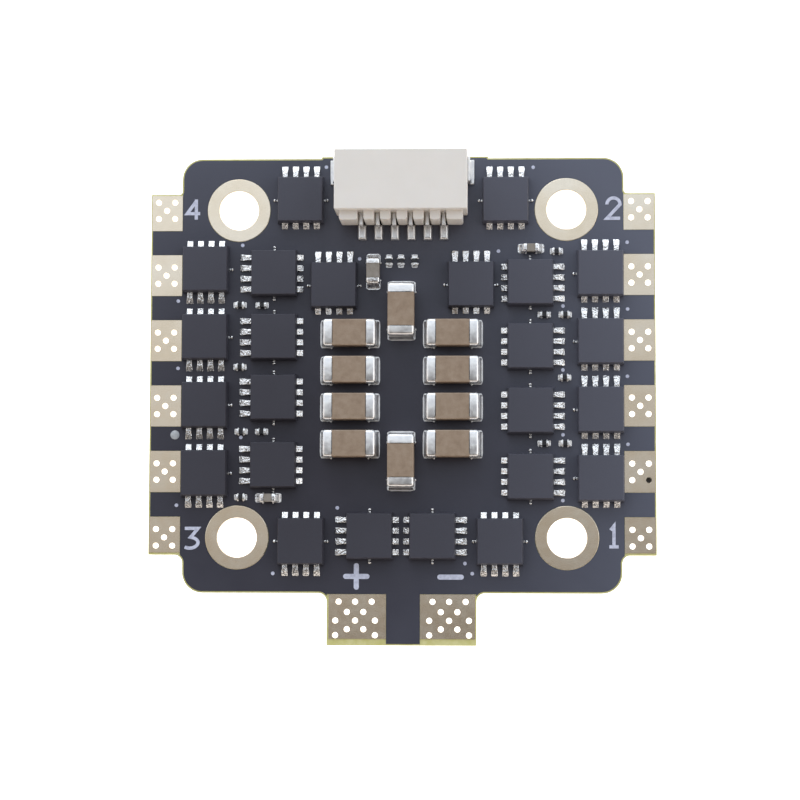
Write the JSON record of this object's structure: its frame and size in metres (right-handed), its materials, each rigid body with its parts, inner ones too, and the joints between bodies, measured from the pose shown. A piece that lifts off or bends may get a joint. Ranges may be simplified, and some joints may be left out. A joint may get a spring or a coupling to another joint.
{
  "type": "motor controller board",
  "caption": "Square circuit board that drives four drone motors, with plated pads, power transistors, capacitors and a side-entry signal socket.",
  "frame": {"origin": "centre of the four mounting holes, at the underside of the bare laminate", "axes": "+Z out of the component side, +Y towards the signal socket, +X to the right of it, towards motors 1 and 2"},
  "size_m": [0.0308, 0.0298, 0.0055],
  "materials": {
    "laminate": "satin, glass-filled",
    "solder_mask": "satin varnish",
    "white_ink": "matte",
    "gold_plating": "thin gold over nickel, satin",
    "transistor_plastic": "fine matte",
    "solder": "bright tin",
    "capacitor_ceramic": "satin",
    "small_ceramic": "satin",
    "socket_plastic": "satin",
    "tinned_contact": "bright tin",
    "resistor_body": "satin",
    "chip_plastic": "fine matte"
  },
  "bodies": {
    "root": {"battery_pad_negative": "gold_plating", "battery_pad_positive": "gold_plating", "board_laminate": "laminate", "bulk_capacitor_01": "capacitor_ceramic", "bulk_capacitor_02": "capacitor_ceramic", "bulk_capacitor_03": "capacitor_ceramic", "bulk_capacitor_04": "capacitor_ceramic", "bulk_capacitor_05": "capacitor_ceramic", "bulk_capacitor_06": "capacitor_ceramic", "bulk_capacitor_07": "capacitor_ceramic", "bulk_capacitor_08": "capacitor_ceramic", "bulk_capacitor_09": "capacitor_ceramic", "bulk_capacitor_10": "capacitor_ceramic", "bulk_capacitor_terminals": "solder", "chip_resistors": "resistor_body", "gate_drivers": "chip_plastic", "microcontrollers": "chip_plastic", "mosfet_01": "transistor_plastic", "mosfet_02": "transistor_plastic", "mosfet_03": "transistor_plastic", "mosfet_04": "transistor_plastic", "mosfet_05": "transistor_plastic", "mosfet_06": "transistor_plastic", "mosfet_07": "transistor_plastic", "mosfet_08": "transistor_plastic", "mosfet_09": "transistor_plastic", "mosfet_10": "transistor_plastic", "mosfet_11": "transistor_plastic", "mosfet_12": "transistor_plastic", "mosfet_13": "transistor_plastic", "mosfet_14": "transistor_plastic", "mosfet_15": "transistor_plastic", "mosfet_16": "transistor_plastic", "mosfet_17": "transistor_plastic", "mosfet_18": "transistor_plastic", "mosfet_19": "transistor_plastic", "mosfet_20": "transistor_plastic", "mosfet_21": "transistor_plastic", "mosfet_22": "transistor_plastic", "mosfet_23": "transistor_plastic", "mosfet_24": "transistor_plastic", "mosfet_leads": "solder", "motor_pads_1": "gold_plating", "motor_pads_2": "gold_plating", "motor_pads_3": "gold_plating", "motor_pads_4": "gold_plating", "mounting_ring_front_left": "gold_plating", "mounting_ring_front_right": "gold_plating", "mounting_ring_rear_left": "gold_plating", "mounting_ring_rear_right": "gold_plating", "signal_socket_brackets": "tinned_contact", "signal_socket_contacts": "tinned_contact", "signal_socket_housing": "socket_plastic", "silkscreen_top": "white_ink", "small_capacitors": "small_ceramic", "small_part_terminals": "solder", "solder_mask_bottom": "solder_mask", "solder_mask_top": "solder_mask", "underside_chip_leads": "solder", "voltage_regulator": "chip_plastic"}
  },
  "joints": []
}
